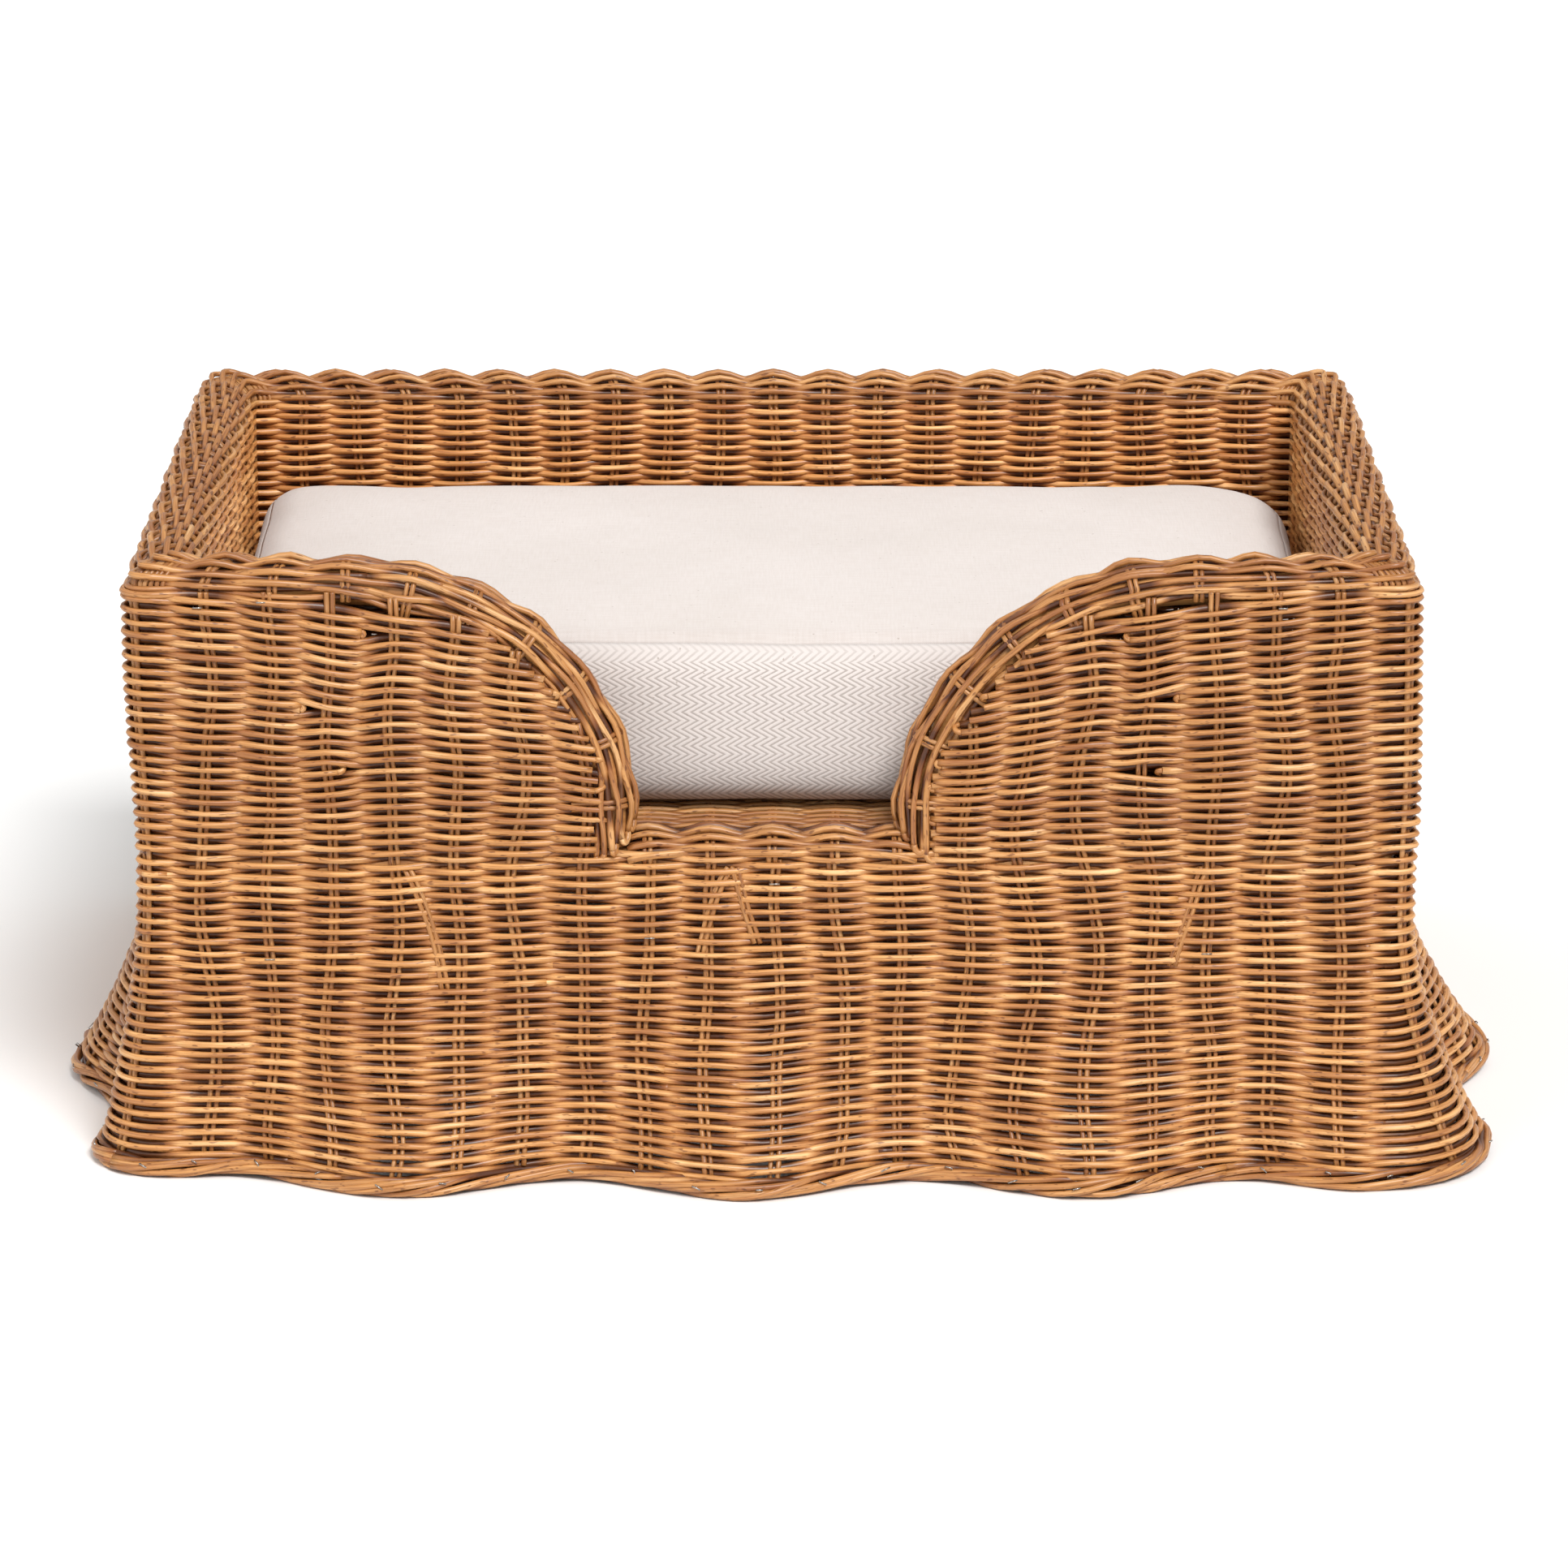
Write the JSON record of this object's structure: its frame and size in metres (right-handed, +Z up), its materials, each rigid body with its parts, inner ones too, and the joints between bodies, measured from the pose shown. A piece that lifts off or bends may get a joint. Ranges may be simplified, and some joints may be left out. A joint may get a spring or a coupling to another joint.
{
  "type": "wicker pet bed basket",
  "caption": "Rectangular woven rattan pet bed with a low curved front entrance, a flared wavy skirt and a lift-out boxed cushion.",
  "frame": {"origin": "on the floor, at the middle of the basket's plan", "axes": "+X runs along the width, to the right of someone who faces the entrance; the entrance faces -Y; +Z is up"},
  "size_m": [0.8268, 0.6076, 0.345],
  "materials": {
    "rattan_weave": "satin",
    "rattan_border": "satin",
    "rattan_pole": "satin",
    "glide_plastic": "matte",
    "steel_wire": "satin",
    "plain_cloth": "matte",
    "herringbone_cloth": "matte",
    "wadding": "matte",
    "zip_tape": "matte",
    "zip_teeth": "satin"
  },
  "bodies": {
    "basket": {"foot_glide_front_left": "glide_plastic", "foot_glide_front_right": "glide_plastic", "foot_glide_back_left": "glide_plastic", "foot_glide_back_right": "glide_plastic", "post_front_left": "rattan_pole", "post_front_right": "rattan_pole", "post_back_left": "rattan_pole", "post_back_right": "rattan_pole", "seat_rail_front": "rattan_pole", "seat_rail_back": "rattan_pole", "seat_rail_left": "rattan_pole", "seat_rail_right": "rattan_pole", "seat_bearer_1": "rattan_pole", "seat_bearer_2": "rattan_pole", "seat_bearer_3": "rattan_pole", "seat_bearer_4": "rattan_pole", "top_rail_left": "rattan_pole", "top_rail_right": "rattan_pole", "top_rail_back": "rattan_pole", "wing_rail_left": "rattan_pole", "wing_rail_right": "rattan_pole", "frame_nails": "steel_wire", "outer_weave_left": "rattan_weave", "outer_weave_right": "rattan_weave", "outer_weave_back": "rattan_weave", "outer_weave_front_left": "rattan_weave", "outer_weave_front_right": "rattan_weave", "inner_weave_left": "rattan_weave", "inner_weave_right": "rattan_weave", "inner_weave_back": "rattan_weave", "inner_weave_front_left": "rattan_weave", "inner_weave_front_right": "rattan_weave", "rim_weave_left": "rattan_weave", "rim_weave_right": "rattan_weave", "rim_weave_back": "rattan_weave", "wing_border_left": "rattan_border", "wing_border_right": "rattan_border", "sill_weave": "rattan_weave", "seat_weave": "rattan_weave", "skirt_front": "rattan_weave", "skirt_back": "rattan_weave", "skirt_left": "rattan_weave", "skirt_right": "rattan_weave", "hem_border_front": "rattan_border", "hem_border_back": "rattan_border", "hem_border_left": "rattan_border", "hem_border_right": "rattan_border", "hem_staples": "steel_wire"},
    "cushion": {"cushion_fill": "wadding", "cushion_top_panel": "plain_cloth", "cushion_boxing": "herringbone_cloth", "cushion_bottom_panel": "herringbone_cloth", "zip_tape": "zip_tape", "zip_coil": "zip_teeth"},
    "slider": {"zip_slider": "steel_wire"},
    "pull": {"zip_pull": "steel_wire"}
  },
  "joints": [
    {"name": "cushion_lift", "type": "slide", "parent": "basket", "child": "cushion", "axis": [0, 0, 1], "range_m": [0, 0.25]},
    {"name": "zip_slide", "type": "slide", "parent": "cushion", "child": "slider", "axis": [1, 0, 0], "range_m": [0, 0.44]},
    {"name": "zip_pull_swing", "type": "hinge", "parent": "slider", "child": "pull", "pos_m": [-0.228, 0.1908, 0.24], "axis": [0, 0, 1], "range_deg": [0, 170]}
  ]
}
